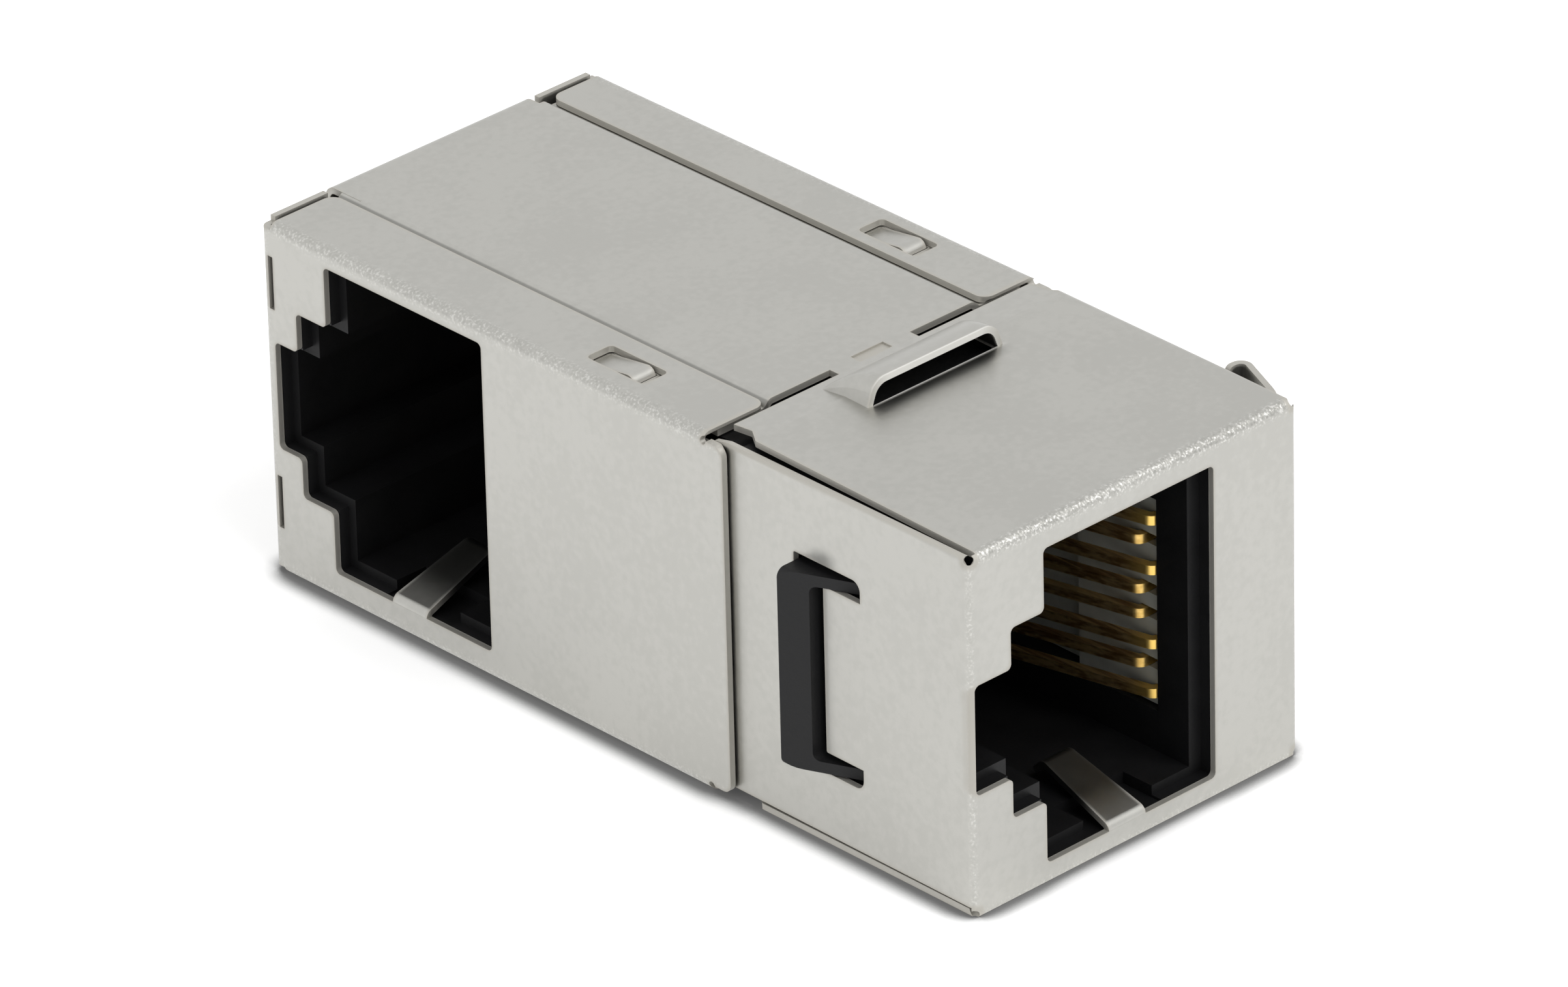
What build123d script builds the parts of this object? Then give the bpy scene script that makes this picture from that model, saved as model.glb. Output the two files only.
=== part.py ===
from build123d import *
import os

# A shielded inline coupler for eight-way network plugs, in millimetres.
# One port is in the front face, the other is in the left side near the back.
# Two folded sheets make the shield. The front sheet has the front face, the front side walls and the
# long central panels above and below. The rear sheet is a U in plan that slides on from behind, with
# four bands that lie over the margins of the central panels and snap on to tabs lanced out of them.
#
# While it is drawn, x runs to the right seen from the front port, y runs back from the front face, and
# z runs up from the underside. The finished pieces are moved so that the origin is the middle of the
# underside.

# The sheet metal of both shields
SHEET = 0.25
TIGHT_BEND = 0.1
SHEET_GAP = 0.03

# The front sheet's box, with its folds measured on the outside
FACE_HALF_WIDTH = 8.2
FACE_HEIGHT = 14.65
FRONT_FOLD = 0.35
FRONT_SIDE_FOLD = 0.28
FOOT_FOLD = 0.12
FOOT_FOLD_INSIDE = 0.03
LEFT_DRAFT = 0.07
RIGHT_DRAFT = 0.27
FRONT_WALL_END = 14.4
WALL_REAR_CORNER = 0.6
LEFT_WALL_TOP = 14.6
RIGHT_WALL_TOP = 14.2
WALL_FOOT = 0.42
WALL_UNDER_BAND = 0.06
CORNER_HOLE = 0.18

# The front covers, which rise a little towards the seam and then narrow into a neck
COVER_PEAK = 14.88
COVER_PEAK_BACK = 11.4
COVER_LEVEL_BACK = 13.0
COVER_LEFT_EDGE = FACE_HALF_WIDTH - 0.5
COVER_RIGHT_EDGE = FACE_HALF_WIDTH - 0.25
COVER_FOOT_EDGE = FACE_HALF_WIDTH - 0.14
NECK_START = 11.3
NECK_FULL = 12.0
NECK_LEFT_EDGE = FACE_HALF_WIDTH - 1.0
NECK_RIGHT_EDGE = FACE_HALF_WIDTH - 0.6
SLIT_FRONT = 12.95
SLIT_BACK = 13.43
BRIDGE_HALF_WIDTH = 2.0
DENT_HALF_WIDTH = 0.8
DENT_FRONT = 13.1
DENT_BACK = 13.6
DENT_DEPTH = 0.08

# The bump lanced out of the top cover, open to the front
BUMP_FRONT = 10.2
BUMP_BACK = 12.5
BUMP_CENTRE = 0.15
BUMP_HALF_WIDTH = 3.45
BUMP_HEIGHT = 0.97
BUMP_END_SLOPE = 0.35
BUMP_CORNER = 0.6

# The rear sheet's box
REAR_LEFT = -FACE_HALF_WIDTH - 0.28
REAR_RIGHT = FACE_HALF_WIDTH + 0.04
REAR_HEIGHT = 14.72
REAR_WALL_BACK = 36.9
REAR_FOLD = 0.4
REAR_WALL_FRONT = 12.25
REAR_WALL_TOP = 14.45
REAR_WALL_CORNER = 0.4
BAND_FRONT = 13.25
BAND_BACK = 36.35
BAND_LEFT_EDGE = 5.3
BAND_RIGHT_EDGE = 5.6
BAND_CORNER = 0.5
FOLD_NOTCH = 0.15
EAR_OUTER_EDGE = FACE_HALF_WIDTH - 0.3
EAR_INNER_EDGE = 5.3
EAR_LOW = 0.04
EAR_MIDDLE_LOW = 0.56

# The central panel between the bands, its sunk margins and its tail
PANEL_LEFT_EDGE = 4.93
PANEL_RIGHT_EDGE = 5.15
JOGGLE_RUN = 0.3
JOGGLE_BEND = 0.2
MARGIN_EDGE = FACE_HALF_WIDTH - 0.65
PANEL_BACK = 36.25
TAIL_HALF_WIDTH = 4.95
TAIL_FOLD = 0.5
TAIL_LENGTH = 4.0

# The snap windows in the bands and the tabs that they catch
SNAP_CENTRE = 6.775
WINDOW_WIDTH = 1.25
WINDOW_FRONT = 17.45
WINDOW_BACK = 20.45
WINDOW_CORNER = 0.2
TAB_WIDTH = 1.05
TAB_FRONT = 18.0
TAB_BACK = 20.3
TAB_RISE = 0.3
TAB_LIP = 0.25
TAB_CLEARANCE = 0.05

# The slots beside the rear folds
FOLD_SLOT_FRONT = 36.25
FOLD_SLOT_BACK = 36.5
FOLD_SLOT_HEIGHT = 2.2
FOLD_SLOT_OUT = 4.6
FOLD_SLOT_MIDDLE = 7.65

# The C-shaped slot in the left wall and the moulded rib that stands in it
SLOT_FRONT = 5.59
SLOT_BACK = 8.99
SLOT_LOW = 3.0
SLOT_HIGH = 11.5
SLOT_ARM = 0.85
SLOT_TONGUE_END = 7.49
SLOT_END_ROUND = 0.4
SLOT_CORNER = 0.08
RIB_PROUD = 1.41
RIB_FRONT = 5.75
RIB_BAR_FRONT = 7.8
RIB_BACK = 8.92
RIB_LOW = 3.1
RIB_HIGH = 11.15
RIB_ARM = 0.45
RIB_CORNER = 0.35
RIB_INNER_CORNER = 0.3

# The latch spring lanced out of the right wall and bowed outwards
LATCH_LOW = 1.75
LATCH_HIGH = 12.85
LATCH_ROOT = 0.95
LATCH_PEAK_OUT = 11.35
LATCH_PEAK_BACK = 5.75
LATCH_SHOULDER_OUT = 10.2
LATCH_SHOULDER_BACK = 3.05
LATCH_TIP_OUT = 10.5
LATCH_TIP_BACK = 5.8
LATCH_BOW = 3.0
LATCH_PEAK_BEND = 0.33
LATCH_TIP_CORNER = 0.25
LATCH_WINDOW_BACK = 7.0
LATCH_CLEARANCE = 0.12

# The stepped port outline, measured from its contact edge towards its latch side
PORT_WIDE = 8.5
PORT_MID = 10.15
FRONT_PORT_NARROW = 11.95
SIDE_PORT_NARROW = 11.38
PORT_WIDE_HALF = 6.4
PORT_MID_HALF = 3.87
PORT_NARROW_HALF = 2.23
PORT_CORNER = 0.22
FRONT_PORT_EDGE = 3.95
FRONT_PORT_HEIGHT = 7.2
SIDE_PORT_EDGE = 24.92
SIDE_PORT_HEIGHT = 7.58

# The ground tongue that bends into each port from its lower edge
TONGUE_START = 3.55
TONGUE_END = 5.4
TONGUE_RISE = 1.26
TONGUE_DEPTH = 3.6
TONGUE_CURL = 0.45
TONGUE_TAPER = 0.28
TONGUE_CORNER = 0.15

# The moulded housings
HOUSING_CLEARANCE = 0.05
HOUSING_SIDE_GAP = 0.3
FRONT_HOUSING_HALF = FACE_HALF_WIDTH - SHEET - HOUSING_SIDE_GAP
FRONT_HOUSING_BACK = 14.0
SIDE_HOUSING_FRONT = 21.5
HOUSING_CORNER = 0.25
MOUTH_DEPTH = 0.75
CAVITY_DEPTH = 12.0
CAVITY_CONTACT_SHIFT = 0.6
CAVITY_SHRINK = 0.38
POCKET_FRONT = 2.3
POCKET_SIDE = 3.0
POCKET_HALF = 4.35
TONGUE_NOTCH_DEPTH = 2.2
TONGUE_NOTCH_DROP = 0.48
TONGUE_NOTCH_START = 2.5
TONGUE_NOTCH_END = 5.97

# The contacts: flat spring wire folded back at the mouth
CONTACTS = 8
CONTACT_PITCH = 1.016
WIRE_THICK = 0.35
WIRE_WIDE = 0.38
WIRE_BEND = 0.3
CONTACT_DROP = 0.12
LONG_CONTACTS = (1, 3, 6, 8)
CONTACT_LONG_FRONT = 2.52
CONTACT_SHORT_FRONT = 3.2
CONTACT_START = 0.55
CONTACT_DEEP = 9.8
CONTACT_SLOPE = 0.244
CONTACT_TIP = 0.8
RUN_NEAR = 0.55
RUN_FAR = 2.05
TAIL_STICK_OUT = 0.6
SIDE_TAIL_NEAR = 8.5
SIDE_TAIL_FAR = 11.0

# The plates that hold the contacts
BLOCK_FRONT = POCKET_FRONT + 0.1
BLOCK_FACE = 0.3
BLOCK_STEP_BACK = 6.6
BLOCK_STEP_FACE = -0.2
BLOCK_SIDE = 2.95
BLOCK_HALF = 4.3
BLOCK_BACK = 13.9
WIRE_CLEARANCE = 0.02

# The board between the housings
BOARD_FRONT = 17.9
BOARD_THICK = 1.0
BOARD_HALF_WIDTH = FACE_HALF_WIDTH - 0.8
BOARD_LOW = 0.9
BOARD_HIGH = 13.8
BOARD_HOLE = 0.35
POST_RADIUS = 1.2
PIN_RADIUS = 0.8
PIN_CLEARANCE = 0.05
FRONT_POST_X = -5.5
SIDE_POST_X = -2.6
POST_RISE = 4.0

MIDDLE = REAR_HEIGHT / 2
TAIL_BACK = REAR_WALL_BACK + SHEET_GAP + SHEET
MARGIN_TOP = REAR_HEIGHT - SHEET - SHEET_GAP
BOARD_BACK = BOARD_FRONT + BOARD_THICK
FAR = 60.0

# Each port's own frame: x towards its latch side, y up, z into the body
FRONT_PORT = Plane(origin=(FRONT_PORT_EDGE, 0, FRONT_PORT_HEIGHT), x_dir=(-1, 0, 0), z_dir=(0, 1, 0))
SIDE_PORT = Plane(origin=(REAR_LEFT, SIDE_PORT_EDGE, SIDE_PORT_HEIGHT), x_dir=(0, 1, 0), z_dir=(1, 0, 0))


def block(x, y, z):
    """A rectangular block between pairs of coordinates."""
    size = [high - low for low, high in (x, y, z)]
    return Pos(x[0], y[0], z[0]) * Box(*size, align=(Align.MIN, Align.MIN, Align.MIN))


def prism(points, plane, low, high):
    """An outline on a plane, made solid between two distances along the plane's normal."""
    return extrude(plane.offset(low) * make_face(Polyline(*points, close=True)), high - low)


def strip(points, radii, plane, wide, thick=SHEET):
    """A strip folded along a path in a plane. The path is the middle of its thickness and width."""
    path = plane * FilletPolyline(*points, radius=radii)
    section = Plane(origin=path @ 0, x_dir=plane.z_dir, z_dir=path % 0) * Rectangle(wide, thick)
    return sweep(section, path, transition=Transition.RIGHT)


def above_and_below(solid):
    """The solid and its mirror image in the middle height of the body."""
    return solid + mirror(solid, Plane.XY.offset(MIDDLE))


# The ports


def port_outline(plane, narrow, contact_shift=0.0, shrink=0.0):
    """The stepped outline of a plug's mouth, shrunk evenly except on the contact side."""
    start = contact_shift
    ends = [PORT_WIDE - shrink, PORT_MID - shrink, narrow - shrink]
    halves = [PORT_WIDE_HALF - shrink, PORT_MID_HALF - shrink, PORT_NARROW_HALF - shrink]
    upper = [
        (start, halves[0]),
        (ends[0], halves[0]),
        (ends[0], halves[1]),
        (ends[1], halves[1]),
        (ends[1], halves[2]),
        (ends[2], halves[2]),
    ]
    lower = [(along, -up) for along, up in reversed(upper)]
    return plane * make_face(Polyline(*upper, *lower, close=True))


def port_cut(plane, narrow):
    """The opening through the sheet, with its rounded corners."""
    outline = port_outline(plane, narrow)
    outline = fillet(outline.vertices(), PORT_CORNER)
    return extrude(outline, SHEET * 2, both=True, dir=plane.z_dir)


def ground_tongue(plane):
    """The tongue bent in from the opening's lower edge, with its end curled down again."""
    middle = (TONGUE_START + TONGUE_END) / 2
    root = -PORT_WIDE_HALF
    along = Plane(
        origin=plane.from_local_coords((middle, 0, 0)), x_dir=plane.z_dir, z_dir=-plane.x_dir
    )
    points = [
        (SHEET / 2, root - SHEET),
        (SHEET / 2, root + SHEET / 2),
        (TONGUE_DEPTH, root + TONGUE_RISE),
        (TONGUE_DEPTH + TONGUE_CURL, root + TONGUE_RISE - TONGUE_CURL),
    ]
    tongue = strip(points, [SHEET, SHEET], along, TONGUE_END - TONGUE_START)
    tip = TONGUE_DEPTH + 2 * TONGUE_CURL
    plan = [
        (TONGUE_START, -SHEET),
        (TONGUE_END, -SHEET),
        (TONGUE_END, SHEET),
        (TONGUE_END - TONGUE_TAPER, tip),
        (TONGUE_START + TONGUE_TAPER, tip),
        (TONGUE_START, SHEET),
    ]
    flat = Plane(origin=plane.origin, x_dir=plane.x_dir, z_dir=-plane.y_dir)
    outline = make_face(Polyline(*plan, close=True))
    outline = fillet(outline.vertices().group_by(Axis.Y)[-1], TONGUE_CORNER)
    return tongue & extrude(flat.offset(-FAR) * outline, 2 * FAR)


# The front sheet


def front_form(inset, fold, side_fold, foot_fold):
    """The front unit's tapered outer form, or its hollow when it is inset by the sheet."""
    back = FRONT_WALL_END + inset
    plan = [
        (inset - FACE_HALF_WIDTH, inset),
        (FACE_HALF_WIDTH - inset, inset),
        (FACE_HALF_WIDTH - RIGHT_DRAFT - inset, back),
        (inset + LEFT_DRAFT - FACE_HALF_WIDTH, back),
    ]
    side = [
        (inset, inset),
        (inset, FACE_HEIGHT - inset),
        (COVER_PEAK_BACK, COVER_PEAK - inset),
        (COVER_LEVEL_BACK, REAR_HEIGHT - inset),
        (back, REAR_HEIGHT - inset),
        (back, inset),
    ]
    form = prism(plan, Plane.XY, 0, COVER_PEAK) & prism(side, Plane.YZ, -FAR, FAR)
    upright = form.faces().sort_by(Axis.Y)[0].edges().sort_by(Axis.Z)[1:-1]
    form = fillet(upright, side_fold)
    crown = form.faces().sort_by(Axis.Y)[0].edges().sort_by(Axis.Z)[-1]
    form = fillet(crown, fold)
    foot = form.edges().filter_by(Axis.X).group_by(Axis.Z)[0].sort_by(Axis.Y)[0]
    return fillet(foot, foot_fold)


def wall_trim(side, top):
    """What is cut off above the top edge of one front side wall, with its rounded rear corner."""
    rear_top = MARGIN_TOP - WALL_UNDER_BAND
    slope_back = BAND_FRONT - SHEET_GAP
    points = [
        (FRONT_FOLD / 2, top),
        (REAR_WALL_FRONT, top),
        (slope_back, min(top, rear_top)),
        (FRONT_WALL_END - WALL_REAR_CORNER, min(top, rear_top)),
        (FRONT_WALL_END, rear_top - WALL_REAR_CORNER),
        (FRONT_WALL_END + 1, rear_top - WALL_REAR_CORNER),
        (FRONT_WALL_END + 1, FAR),
        (FRONT_FOLD / 2, FAR),
    ]
    edge = COVER_RIGHT_EDGE if side > 0 else COVER_LEFT_EDGE
    trim = prism(points, Plane.YZ, 0, FACE_HALF_WIDTH)
    return Pos(edge if side > 0 else -edge - FACE_HALF_WIDTH, 0, 0) * trim


def cover_cuts():
    """The slots that free the covers from the walls, their necks, and the slits beside the bridge."""
    left_wall = FACE_HALF_WIDTH - SHEET - LEFT_DRAFT
    left_neck = [
        (-left_wall, NECK_START),
        (-COVER_LEFT_EDGE, NECK_START),
        (-NECK_LEFT_EDGE, NECK_FULL),
        (-NECK_LEFT_EDGE, FAR),
        (-left_wall, FAR),
    ]
    right_neck = [
        (FACE_HALF_WIDTH, NECK_START - 1),
        (COVER_RIGHT_EDGE, NECK_START),
        (NECK_RIGHT_EDGE, NECK_FULL),
        (NECK_RIGHT_EDGE, FAR),
        (FACE_HALF_WIDTH, FAR),
    ]
    top = FACE_HEIGHT - SHEET - SHEET_GAP
    cuts = [wall_trim(-1, LEFT_WALL_TOP), wall_trim(1, RIGHT_WALL_TOP)]
    cuts.append(block((-FACE_HALF_WIDTH + SHEET, -COVER_LEFT_EDGE), (FRONT_FOLD / 2, FAR), (top, FAR)))
    cuts.append(prism(left_neck, Plane.XY, top, COVER_PEAK))
    cuts.append(block((NECK_RIGHT_EDGE, COVER_RIGHT_EDGE), (FRONT_FOLD, FAR), (RIGHT_WALL_TOP, top)))
    cuts.append(prism(right_neck, Plane.XY, top, COVER_PEAK))
    for side in (-1, 1):
        foot = block((0, FACE_HALF_WIDTH), (FRONT_FOLD / 2, FAR), (-SHEET, WALL_FOOT))
        edge = COVER_FOOT_EDGE if side > 0 else -COVER_FOOT_EDGE - FACE_HALF_WIDTH
        cuts.append(Pos(edge, 0, 0) * foot)
        inner = sorted((side * NECK_LEFT_EDGE, side * COVER_FOOT_EDGE))
        cuts.append(block(inner, (FRONT_FOLD, FAR), (SHEET, WALL_FOOT)))
        neck = [
            (side * FACE_HALF_WIDTH, NECK_START - SHEET),
            (side * COVER_FOOT_EDGE, NECK_START - SHEET),
            (side * NECK_LEFT_EDGE, NECK_FULL),
            (side * NECK_LEFT_EDGE, FAR),
            (side * FACE_HALF_WIDTH, FAR),
        ]
        cuts.append(prism(neck, Plane.XY, -SHEET, WALL_FOOT))
        across = sorted((side * BRIDGE_HALF_WIDTH, side * FACE_HALF_WIDTH))
        shallow = SHEET + SHEET_GAP
        cuts.append(block(across, (SLIT_FRONT, FAR), (MARGIN_TOP - SHEET - SHEET_GAP, FAR)))
        cuts.append(block(across, (SLIT_FRONT, FAR), (-SHEET, shallow)))
    return cuts


def corner_holes():
    """The round relief holes where the folds of the front face would meet."""
    holes = []
    for side in (-1, 1):
        for up in (-1, 1):
            height = FACE_HEIGHT - FRONT_FOLD if up > 0 else FRONT_FOLD
            centre = (side * (FACE_HALF_WIDTH - FRONT_FOLD), FRONT_FOLD, height)
            diagonal = Plane(origin=centre, z_dir=(side, -1, up))
            holes.append(extrude(diagonal * Circle(CORNER_HOLE), FRONT_FOLD * 2))
    return holes


def bump_section(back, half_width, low, height):
    """One rounded arch across the bump."""
    slope = BUMP_END_SLOPE * height / BUMP_HEIGHT
    points = [
        (-half_width, low),
        (slope - half_width, low + height),
        (half_width - slope, low + height),
        (half_width, low),
    ]
    arch = make_face(Polyline(*points, close=True))
    upper = arch.vertices().group_by(Axis.Y)[-1]
    arch = fillet(upper, BUMP_CORNER * height / BUMP_HEIGHT)
    return Plane.XZ.offset(-back) * Pos(BUMP_CENTRE, 0) * arch


def bump_form(inset):
    """The bump's outer form, or the hollow under it when it is inset by the sheet."""
    low = COVER_PEAK - SHEET
    high = low + SHEET + BUMP_HEIGHT - inset
    half = BUMP_HALF_WIDTH - inset
    length = BUMP_BACK - BUMP_FRONT - inset
    sections = [
        bump_section(BUMP_FRONT, half, low, high - low),
        bump_section(BUMP_FRONT + 0.35 * length, half, low, 0.9 * (high - low)),
        bump_section(BUMP_FRONT + length, half, low, 0.15 * (high - low)),
    ]
    return loft(sections)


def central_panel():
    """The panel between the bands with its joggled margins, its snap tabs and its tail."""
    top = REAR_HEIGHT - SHEET / 2
    margin = MARGIN_TOP - SHEET / 2
    points = [
        (-MARGIN_EDGE, margin),
        (-PANEL_LEFT_EDGE - JOGGLE_RUN, margin),
        (-PANEL_LEFT_EDGE, top),
        (PANEL_RIGHT_EDGE, top),
        (PANEL_RIGHT_EDGE + JOGGLE_RUN, margin),
        (MARGIN_EDGE, margin),
    ]
    middle = (SLIT_BACK + PANEL_BACK) / 2
    panel = strip(points, [JOGGLE_BEND] * 4, Plane.XZ.offset(-middle), PANEL_BACK - SLIT_BACK)
    fold = TAIL_FOLD - SHEET / 2
    tail_line = TAIL_BACK - SHEET / 2
    tail_points = [
        (PANEL_BACK - 2 * TAIL_FOLD, top),
        (tail_line, top),
        (tail_line, REAR_HEIGHT - TAIL_LENGTH),
    ]
    panel += strip(tail_points, [fold], Plane.YZ, 2 * TAIL_HALF_WIDTH)
    for side in (-1, 1):
        centre = side * SNAP_CENTRE
        half_gap = TAB_WIDTH / 2 + TAB_CLEARANCE
        panel -= block(
            (centre - half_gap, centre + half_gap),
            (TAB_FRONT - TAB_CLEARANCE, TAB_BACK),
            (margin - SHEET, margin + SHEET),
        )
        tab_points = [
            (TAB_BACK + SHEET, margin),
            (TAB_BACK, margin),
            (TAB_FRONT + TAB_LIP, margin + TAB_RISE),
            (TAB_FRONT + SHEET / 2, margin + TAB_RISE - TAB_LIP),
        ]
        panel += strip(tab_points, [TIGHT_BEND + SHEET / 2] * 2, Plane.YZ.offset(centre), TAB_WIDTH)
    return panel


def side_slot():
    """The C-shaped slot in the left wall, which leaves a tongue of sheet between its arms."""
    low, high = SLOT_LOW + SLOT_ARM, SLOT_HIGH - SLOT_ARM
    middle = (SLOT_FRONT + SLOT_BACK) / 2
    centre_height = (SLOT_LOW + SLOT_HIGH) / 2
    outline = Pos(middle, centre_height) * Rectangle(SLOT_BACK - SLOT_FRONT, SLOT_HIGH - SLOT_LOW)
    outline = fillet(outline.vertices().group_by(Axis.X)[-1], SLOT_CORNER)
    outline = fillet(outline.vertices().group_by(Axis.X)[0], SLOT_END_ROUND)
    tongue = Pos((SLOT_FRONT - SLOT_ARM + SLOT_TONGUE_END) / 2, centre_height) * RectangleRounded(
        SLOT_TONGUE_END - SLOT_FRONT + SLOT_ARM, high - low, SLOT_CORNER
    )
    outward = (1, 0, 0)
    cut = extrude(Plane.YZ * outline, FAR, dir=outward) - extrude(Plane.YZ * tongue, FAR, dir=outward)
    return Pos(-FAR, 0, 0) * cut


def latch_spring():
    """The spring strip that bows out of the right wall from a root near the front face."""
    draft = RIGHT_DRAFT * LATCH_ROOT / FRONT_WALL_END
    wall = FACE_HALF_WIDTH - draft - SHEET / 2
    points = [
        (wall, LATCH_ROOT - 2 * SHEET),
        (wall, LATCH_ROOT),
        (LATCH_SHOULDER_OUT, LATCH_SHOULDER_BACK),
        (LATCH_PEAK_OUT, LATCH_PEAK_BACK),
        (LATCH_TIP_OUT, LATCH_TIP_BACK),
    ]
    middle = (LATCH_LOW + LATCH_HIGH) / 2
    radii = [SHEET, LATCH_BOW, LATCH_PEAK_BEND]
    spring = strip(points, radii, Plane.XY.offset(middle), LATCH_HIGH - LATCH_LOW)
    tip = spring.faces().sort_by_distance((LATCH_TIP_OUT, LATCH_TIP_BACK, middle))[0]
    return fillet(tip.edges().sort_by(SortBy.LENGTH)[:2], LATCH_TIP_CORNER)


def front_shield():
    """The front sheet: face, walls, covers, bump, latch spring, central panels and tails."""
    sheet = front_form(0, FRONT_FOLD, FRONT_SIDE_FOLD, FOOT_FOLD)
    sheet -= front_form(SHEET, TIGHT_BEND, TIGHT_BEND, FOOT_FOLD_INSIDE)
    for cut in cover_cuts():
        sheet -= cut
    sheet -= corner_holes()
    sheet -= port_cut(FRONT_PORT, FRONT_PORT_NARROW)
    sheet -= side_slot()
    sheet -= block(
        (FACE_HALF_WIDTH - 1, FAR),
        (LATCH_ROOT, LATCH_WINDOW_BACK),
        (LATCH_LOW - LATCH_CLEARANCE, LATCH_HIGH + LATCH_CLEARANCE),
    )
    hollow = bump_form(SHEET)
    under_bump = block(
        (BUMP_CENTRE - BUMP_HALF_WIDTH + SHEET, BUMP_CENTRE + BUMP_HALF_WIDTH - SHEET),
        (BUMP_FRONT, BUMP_BACK - 2 * SHEET),
        (COVER_PEAK - 3 * SHEET, COVER_PEAK - SHEET / 2),
    )
    sheet += bump_form(0)
    sheet -= hollow
    sheet -= under_bump
    sheet += above_and_below(central_panel())
    sheet -= block(
        (-DENT_HALF_WIDTH, DENT_HALF_WIDTH),
        (DENT_FRONT, DENT_BACK),
        (REAR_HEIGHT - DENT_DEPTH, REAR_HEIGHT + SHEET),
    )
    sheet += ground_tongue(FRONT_PORT)
    sheet += latch_spring()
    return sheet


# The rear sheet


def rear_form(inset, fold):
    """The rear unit's outer form, or its hollow when it is inset by the sheet."""
    middle = (REAR_LEFT + REAR_RIGHT) / 2
    wide = REAR_RIGHT - REAR_LEFT - 2 * inset
    tall = REAR_HEIGHT - 2 * inset
    back = REAR_WALL_BACK - inset
    section = Pos(middle, MIDDLE) * RectangleRounded(wide, tall, fold)
    front = REAR_WALL_FRONT - inset
    along = extrude(Plane.XZ.offset(-front) * section, front - back)
    plan = Pos(middle, back / 2) * RectangleRounded(wide, back, fold)
    return along & extrude(plan, REAR_HEIGHT)


def band_outline(side):
    """The plan of one band, with rounded inner corners."""
    length = BAND_BACK - BAND_FRONT
    wide = 2 * REAR_RIGHT
    edge = BAND_RIGHT_EDGE if side > 0 else BAND_LEFT_EDGE
    centre = side * (edge + wide / 2)
    return Pos(centre, BAND_FRONT + length / 2) * RectangleRounded(wide, length, BAND_CORNER)


def upper_cut():
    """What is cut away above the walls to leave the two bands and the rear wall's ears."""
    inner_back = REAR_WALL_BACK - SHEET
    cut = block((-FAR, FAR), (0, inner_back), (REAR_WALL_TOP, FAR))
    for side in (-1, 1):
        cut -= extrude(Plane.XY * band_outline(side), FAR)
    cut += block((-FAR, -EAR_OUTER_EDGE), (BAND_BACK, FAR), (REAR_WALL_TOP, FAR))
    cut += block((EAR_OUTER_EDGE, FAR), (BAND_BACK, FAR), (REAR_WALL_TOP, FAR))
    cut += block((-FAR, FAR), (inner_back, FAR), (REAR_HEIGHT - EAR_LOW, FAR))
    cut += block(
        (-EAR_INNER_EDGE, EAR_INNER_EDGE), (inner_back, FAR), (REAR_HEIGHT - EAR_MIDDLE_LOW, FAR)
    )
    notch = Cylinder(FOLD_NOTCH, FAR, rotation=(0, 90, 0))
    cut += Pos(0, BAND_FRONT, REAR_WALL_TOP) * notch
    corner_back = REAR_WALL_FRONT + REAR_WALL_CORNER
    corner_low = REAR_WALL_TOP - REAR_WALL_CORNER
    corner = block((-FAR, FAR), (REAR_WALL_FRONT - 1, corner_back), (corner_low, FAR))
    corner -= Pos(0, corner_back, corner_low) * Cylinder(REAR_WALL_CORNER, 3 * FAR, rotation=(0, 90, 0))
    cut += corner
    for side in (-1, 1):
        window = RectangleRounded(WINDOW_WIDTH, WINDOW_BACK - WINDOW_FRONT, WINDOW_CORNER)
        place = Pos(side * SNAP_CENTRE, (WINDOW_FRONT + WINDOW_BACK) / 2, MIDDLE)
        cut += extrude(place * window, FAR)
    return cut


def rear_shield():
    """The rear sheet: side walls, rear wall, the four bands, the side port and its ground tongue."""
    sheet = rear_form(0, REAR_FOLD) - rear_form(SHEET, REAR_FOLD - SHEET)
    upper = upper_cut()
    sheet -= upper
    sheet -= mirror(upper, Plane.XY.offset(MIDDLE))
    sheet -= port_cut(SIDE_PORT, SIDE_PORT_NARROW)
    for up in (-1, 1):
        centre = FOLD_SLOT_MIDDLE + up * FOLD_SLOT_OUT
        half = FOLD_SLOT_HEIGHT / 2
        sheet -= block((-FAR, FAR), (FOLD_SLOT_FRONT, FOLD_SLOT_BACK), (centre - half, centre + half))
    sheet += ground_tongue(SIDE_PORT)
    return sheet


# The mouldings


def plug_cavity(plane, narrow, length):
    """The space for a plug, the recess at its mouth, and the pocket for the contacts beside it."""
    mouth = extrude(port_outline(plane, narrow), MOUTH_DEPTH)
    space = port_outline(plane, narrow, CAVITY_CONTACT_SHIFT, CAVITY_SHRINK)
    cavity = mouth + extrude(space, CAVITY_DEPTH)
    pocket = block(
        (-POCKET_SIDE, CAVITY_CONTACT_SHIFT + SHEET),
        (-POCKET_HALF, POCKET_HALF),
        (POCKET_FRONT, length),
    )
    floor = CAVITY_SHRINK - PORT_WIDE_HALF
    notch = block(
        (TONGUE_NOTCH_START, TONGUE_NOTCH_END),
        (floor - TONGUE_NOTCH_DROP, floor + SHEET),
        (0, TONGUE_NOTCH_DEPTH),
    )
    return cavity + plane.location * (pocket + notch)


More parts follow.
